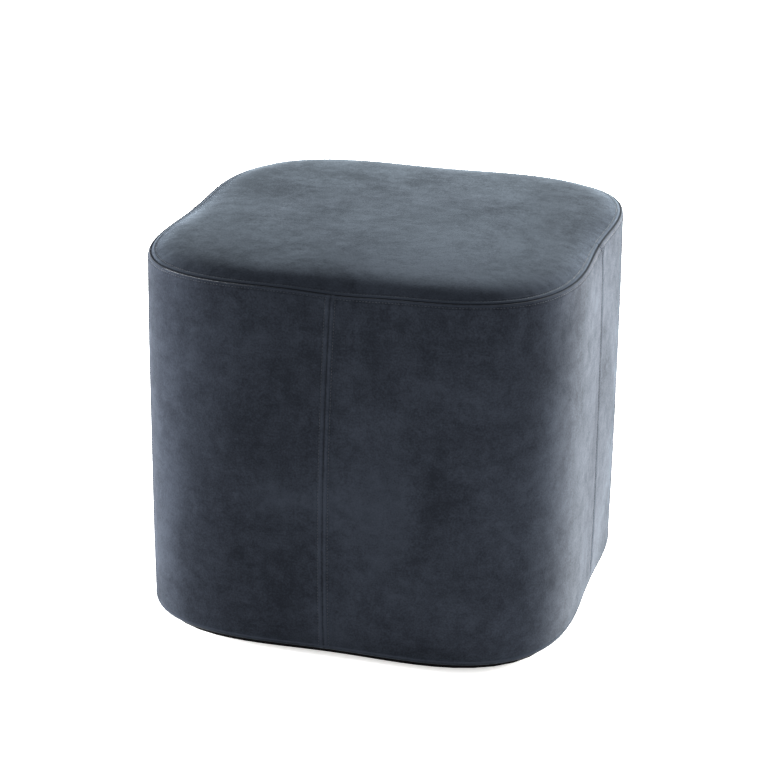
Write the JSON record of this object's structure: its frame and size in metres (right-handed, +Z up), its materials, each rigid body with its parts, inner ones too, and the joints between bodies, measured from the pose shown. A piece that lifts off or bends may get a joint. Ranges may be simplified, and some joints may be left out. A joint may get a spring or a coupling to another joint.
{
  "type": "cube pouf stool",
  "caption": "Soft-cornered cube pouf stool: a filled velvet block with a crowned top, side panels joined by topstitched seams and a thin black base.",
  "frame": {"origin": "on the floor, under the middle of the stool", "axes": "+Z up, -Y the front, with an upright seam in the middle of each side"},
  "size_m": [0.4714, 0.4782, 0.418],
  "materials": {
    "velvet": "slate blue velvet with a short pile",
    "black_base": "matt black board"
  },
  "bodies": {
    "root": {"top_panel": "velvet", "side_panel_front_left": "velvet", "side_panel_front_right": "velvet", "side_panel_back_right": "velvet", "side_panel_back_left": "velvet", "base_board": "black_base"}
  },
  "joints": []
}
